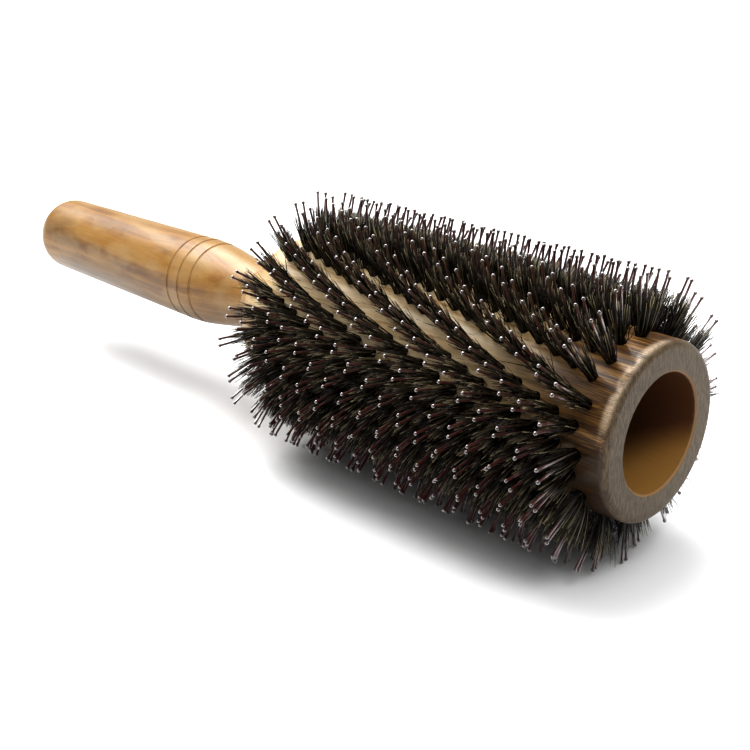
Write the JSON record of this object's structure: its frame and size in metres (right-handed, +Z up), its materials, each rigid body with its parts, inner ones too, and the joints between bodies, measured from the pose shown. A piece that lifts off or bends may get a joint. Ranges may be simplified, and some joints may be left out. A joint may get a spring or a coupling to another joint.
{
  "type": "round barrel brush",
  "caption": "Round hair brush with a hollow turned wooden barrel, a wooden handle and helical rows of boar bristle tufts with ball-tipped nylon pins.",
  "frame": {"origin": "centre of the barrel's open front face, on the barrel's axis", "axes": "+X along the barrel's axis, out of the open mouth; the handle runs towards -X; +Z up, away from what the brush lies on"},
  "size_m": [0.24, 0.07, 0.0697],
  "materials": {
    "barrel_wood": "satin varnish over straight brown grain",
    "handle_wood": "satin varnish over figured honey-brown grain",
    "boar_bristle": "stiff dark natural bristle, paler towards the tips",
    "nylon_pin": "glossy translucent dark red-brown",
    "anchor_wire": "bright drawn flat wire"
  },
  "bodies": {
    "root": {"barrel": "barrel_wood", "handle": "handle_wood", "anchor_wires": "anchor_wire", "boar_tufts_row_01": "boar_bristle", "boar_tufts_row_02": "boar_bristle", "boar_tufts_row_03": "boar_bristle", "boar_tufts_row_04": "boar_bristle", "boar_tufts_row_05": "boar_bristle", "boar_tufts_row_06": "boar_bristle", "boar_tufts_row_07": "boar_bristle", "boar_tufts_row_08": "boar_bristle", "boar_tufts_row_09": "boar_bristle", "boar_tufts_row_10": "boar_bristle", "boar_tufts_row_11": "boar_bristle", "boar_tufts_row_12": "boar_bristle", "boar_tufts_row_13": "boar_bristle", "boar_tufts_row_14": "boar_bristle", "boar_tufts_row_15": "boar_bristle", "boar_tufts_row_16": "boar_bristle", "boar_tufts_row_17": "boar_bristle", "boar_tufts_row_18": "boar_bristle", "boar_tufts_row_19": "boar_bristle", "boar_tufts_row_20": "boar_bristle", "boar_tufts_row_21": "boar_bristle", "boar_tufts_row_22": "boar_bristle", "boar_tufts_row_23": "boar_bristle", "boar_tufts_row_24": "boar_bristle", "nylon_pins_row_01": "nylon_pin", "nylon_pins_row_02": "nylon_pin", "nylon_pins_row_03": "nylon_pin", "nylon_pins_row_04": "nylon_pin", "nylon_pins_row_05": "nylon_pin", "nylon_pins_row_06": "nylon_pin", "nylon_pins_row_07": "nylon_pin", "nylon_pins_row_08": "nylon_pin", "nylon_pins_row_09": "nylon_pin", "nylon_pins_row_10": "nylon_pin", "nylon_pins_row_11": "nylon_pin", "nylon_pins_row_12": "nylon_pin", "nylon_pins_row_13": "nylon_pin", "nylon_pins_row_14": "nylon_pin", "nylon_pins_row_15": "nylon_pin", "nylon_pins_row_16": "nylon_pin", "nylon_pins_row_17": "nylon_pin", "nylon_pins_row_18": "nylon_pin", "nylon_pins_row_19": "nylon_pin", "nylon_pins_row_20": "nylon_pin", "nylon_pins_row_21": "nylon_pin", "nylon_pins_row_22": "nylon_pin", "nylon_pins_row_23": "nylon_pin", "nylon_pins_row_24": "nylon_pin"}
  },
  "joints": []
}
